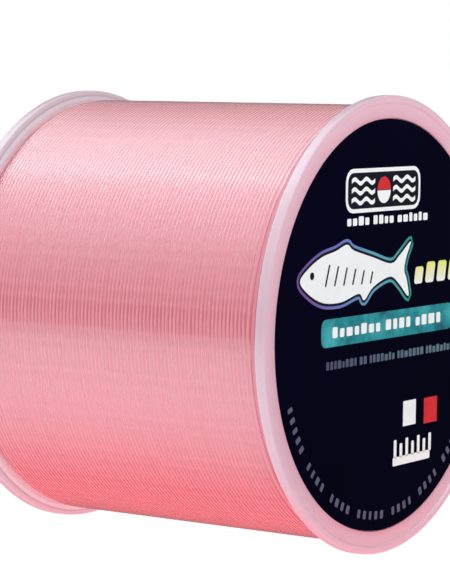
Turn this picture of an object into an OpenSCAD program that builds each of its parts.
// Fishing line spool: two moulded flanges pressed into a barrel, wound full of line.
// The spool's axis lies along Y, with the front label facing -Y. The origin is the spool's centre.

/* [Spool] */
// Outer diameter of both flanges
flange_d = 52; // [46:0.5:64]
// Overall length from rim face to rim face
spool_l = 43.6; // [36:0.2:56]
// Outer diameter of the barrel under the line
barrel_d = 40; // [34:0.5:41]
// Wall of the barrel
barrel_wall = 1.4; // [1:0.1:2]

/* [Flange] */
// Thickness of the flange at its outer rim
rim_t = 1.15; // [0.9:0.05:1.4]
// Depth from the rim face to the flange's inner face
web_depth = 1.6; // [1.4:0.05:2.2]
// Width of the flat top of the raised lip
lip_w = 0.42; // [0.3:0.02:0.6]
// Height of the lip above the ring inside it
lip_h = 0.3; // [0.2:0.05:0.4]
// Radius of the rim's rounded front edge
rim_round = 0.32; // [0.2:0.02:0.4]
// Width of the ring between the lip and the label's recess
ring_w = 1.6; // [1.2:0.1:2]
// Depth of the label's recess below the ring
recess_depth = 0.3; // [0.25:0.05:0.4]
// Width of the slit in the rear rim that holds the line's free end
slit_w = 0.6; // [0.55:0.05:0.8]
// Angle of the slit round the axis, from +X towards +Z
slit_angle = -20; // [-60:5:30]

/* [Hub] */
// Diameter of the spindle bore
bore_d = 10; // [8:0.5:12]
// Wall of the hub stub round the bore
hub_wall = 2; // [1.5:0.1:3]
// Length of each hub stub and its bore
hub_l = 9; // [8:0.5:12]
// Length of the spigot that presses into the barrel
spigot_l = 6; // [4:0.5:8]
// Wall of the spigot
spigot_wall = 1.2; // [1:0.1:1.6]
// Number of ribs between hub and spigot
rib_count = 4; // [3:1:6]
// Thickness of each rib
rib_t = 1.2; // [0.8:0.1:1.6]

/* [Label] */
// Thickness of each label
label_t = 0.25; // [0.2:0.01:0.25]
// Gap round a label inside its recess
label_gap = 0.1; // [0.05:0.05:0.2]
// Diameter of the spindle hole in the rear label
label_hole_d = 12; // [11:0.5:14]

/* [Line] */
// Diameter of the line
line_d = 0.5; // [0.4:0.01:0.5]
// How far the winding's surface stays below the rim
line_drop = 1.1; // [0.9:0.1:2]
// Diameter of the anchor hole in the barrel
anchor_d = 0.9; // [0.8:0.1:1.2]
// Place of the anchor hole along the axis
anchor_y = -8; // [-9:0.5:9]
// Radius of the knot's turns round the line
knot_r = 0.66; // [0.6:0.02:0.8]
// Turns in the knot
knot_turns = 3; // [2:1:5]

/* [Hidden] */

$fn = 96;
cut = 0.5;                                   // how far a cutter runs past a face
flange_r = flange_d / 2;
half_l = spool_l / 2;
lip_slope = 0.22;                            // radial run of the lip's inner slope
ring_r = flange_r - rim_round - lip_w - lip_slope;
recess_r = ring_r - ring_w;
recess_z = lip_h + recess_depth;
label_r = recess_r - label_gap;
winding_r = flange_r - line_drop;
winding_l = spool_l - 2 * web_depth;
rim_back_round = 0.2;
barrel_in_r = barrel_d / 2 - barrel_wall;
hub_r = bore_d / 2 + hub_wall;
hub_end_z = recess_z + hub_l;
spigot_in_r = barrel_in_r - spigot_wall;
slit_floor_r = winding_r - 0.05;

// Route of the free end: angle before the slit, rise above the winding and depth below the
// rear rim's face. It lies on the winding, turns towards the rim and ends inside the slit.
line_lift = line_d / 2 + 0.02;
tag_start = 55;
tag_turn = 13;
tag_depth = web_depth + 1;
tag_route = [
    for (lead = [tag_start : -3 : tag_turn]) [lead, line_lift, tag_depth],
    [10, line_lift, tag_depth - 0.05], [7, line_lift, tag_depth - 0.2],
    [4.5, line_lift, tag_depth - 0.45], [2.4, line_lift + 0.02, tag_depth - 0.75],
    [0.8, line_lift + 0.06, tag_depth - 1.1], [0, line_lift + 0.1, tag_depth - 1.6],
    [0, line_lift + 0.1, tag_depth - 2.1]
];

// Route of the line's start: depth inside the barrel's bore, radius and angle about the hole
knot_depth = 2.4;                            // where the line turns back
knot_pitch = line_d + 0.06;
turn_angle = 50;                             // how far round the line the turn-back ends
knot_route = concat(
    [for (depth = [-barrel_wall + 0.05 : 0.95 : knot_depth]) [depth, 0, 0]],
    [for (b = [30 : 30 : 180])
        [knot_depth + knot_r / 2 * sin(b), knot_r / 2 * (1 - cos(b)), turn_angle * pow(b / 180, 3)]],
    [for (a = [30 : 30 : 360 * knot_turns])
        [knot_depth - knot_pitch * a / 360, knot_r, turn_angle + a]]
);

function polar(angle, radius, y) = [radius * cos(angle), y, radius * sin(angle)];
function by_slit(p) = polar(slit_angle + p[0], winding_r + p[1], half_l - p[2]);
function in_anchor(p) = [barrel_in_r - p[0], anchor_y + p[1] * cos(p[2]), p[1] * sin(p[2])];
function unit(v) = v / norm(v);

// Directions of a route of points, one at each point
function headings(pts) =
    [for (i = [0 : len(pts) - 1]) unit(pts[min(i + 1, len(pts) - 1)] - pts[max(i - 1, 0)])];

// Vectors square to the directions, each carried over from the one before without twisting
function square_to(v, way) = unit(v - (v * way) * way);
function normals(ways, first) =
    [for (i = 0, n = square_to(first, ways[0]); i < len(ways);
          i = i + 1, n = i < len(ways) ? square_to(n, ways[i]) : n) n];

// Round cord along a route of points, with first as a vector off to one side of its start
module sweep(pts, d, first, sides = 8) {
    n = len(pts);
    ways = headings(pts);
    ups = normals(ways, first);
    corners = [for (i = [0 : n - 1]) for (k = [0 : sides - 1])
        let (a = 360 * k / sides, out = cross(ways[i], ups[i]))
            pts[i] + d / 2 * (cos(a) * ups[i] + sin(a) * out)];
    walls = [for (i = [0 : n - 2]) for (k = [0 : sides - 1])
        let (a = i * sides + k, b = i * sides + (k + 1) % sides) [a, a + sides, b + sides, b]];
    first_cap = [for (k = [0 : sides - 1]) k];
    last_cap = [for (k = [sides - 1 : -1 : 0]) (n - 1) * sides + k];
    polyhedron(corners, concat(walls, [first_cap, last_cap]));
}

// Shapes are drawn standing on Z and laid along Y. At the front, Z becomes +Y from the
// front rim's face; at the rear, Z becomes -Y from the rear rim's face.
module at_front() translate([0, -half_l, 0]) rotate([-90, 0, 0]) children();
module at_rear() translate([0, half_l, 0]) rotate([90, 0, 0]) children();
module at_middle() rotate([-90, 0, 0]) children();

module tube(r_out, r_in, l) {
    difference() {
        cylinder(r = r_out, h = l);
        translate([0, 0, -cut]) cylinder(r = r_in, h = l + 2 * cut);
    }
}

// Half section of the disc: recess, ring, lip, rounded rim and inner face
module flange_section() {
    polygon([
        [bore_d / 2, recess_z], [recess_r, recess_z], [recess_r, lip_h], [ring_r, lip_h],
        [ring_r + lip_slope, 0], [flange_r - rim_round, 0], [flange_r - rim_round, rim_round],
        [flange_r, rim_round], [flange_r, rim_t - rim_back_round],
        [flange_r - rim_back_round, rim_t - rim_back_round],
        [flange_r - rim_back_round, rim_t], [winding_r, web_depth], [bore_d / 2, web_depth]
    ]);
    translate([flange_r - rim_round, rim_round]) circle(r = rim_round);
    translate([flange_r - rim_back_round, rim_t - rim_back_round]) circle(r = rim_back_round);
}

module hub() {
    translate([0, 0, recess_z]) tube(hub_r, bore_d / 2, hub_l);
}

module spigot() {
    translate([0, 0, web_depth - 0.2]) tube(barrel_in_r, spigot_in_r, spigot_l + 0.2);
}

module ribs() {
    for (k = [0 : rib_count - 1])
        rotate([0, 0, 45 + 360 * k / rib_count])
            translate([hub_r - 0.3, -rib_t / 2, web_depth - 0.2])
                cube([spigot_in_r - hub_r + 0.6, rib_t, spigot_l - 0.8]);
}

module flange() {
    rotate_extrude() flange_section();
    hub();
    spigot();
    ribs();
}

module front_flange() {
    color([0.93, 0.85, 0.88]) at_front() flange();
}

module rear_flange() {
    color([0.93, 0.85, 0.88]) difference() {
        at_rear() flange();
        rotate([0, -slit_angle, 0])
            translate([slit_floor_r, half_l - web_depth - cut, -slit_w / 2])
                cube([flange_r, web_depth + 2 * cut, slit_w]);
    }
}

module barrel() {
    color([0.94, 0.88, 0.9]) difference() {
        at_middle() translate([0, 0, -winding_l / 2])
            tube(barrel_d / 2, barrel_in_r, winding_l);
        translate([0, anchor_y, 0]) rotate([0, 90, 0]) cylinder(d = anchor_d, h = barrel_d);
    }
}

module front_label() {
    color([0.02, 0.02, 0.09]) at_front() translate([0, 0, recess_z - label_t])
        cylinder(r = label_r, h = label_t);
}

module rear_label() {
    color([0.02, 0.02, 0.09]) at_rear() translate([0, 0, recess_z - label_t])
        tube(label_r, label_hole_d / 2, label_t);
}

module line_winding() {
    color([0.94, 0.55, 0.6]) at_middle() translate([0, 0, -winding_l / 2])
        tube(winding_r, barrel_d / 2, winding_l);
}

// Start of the line: in through the anchor hole, then wound back round itself as a stopper knot
module line_start_knot() {
    color([0.94, 0.55, 0.6]) sweep([for (p = knot_route) in_anchor(p)], line_d, [0, 1, 0]);
}

module line_tag_end() {
    color([0.94, 0.55, 0.6]) sweep([for (p = tag_route) by_slit(p)], line_d, [1, 0, 0]);
}

front_flange();
rear_flange();
barrel();
front_label();
rear_label();
line_winding();
line_start_knot();
line_tag_end();
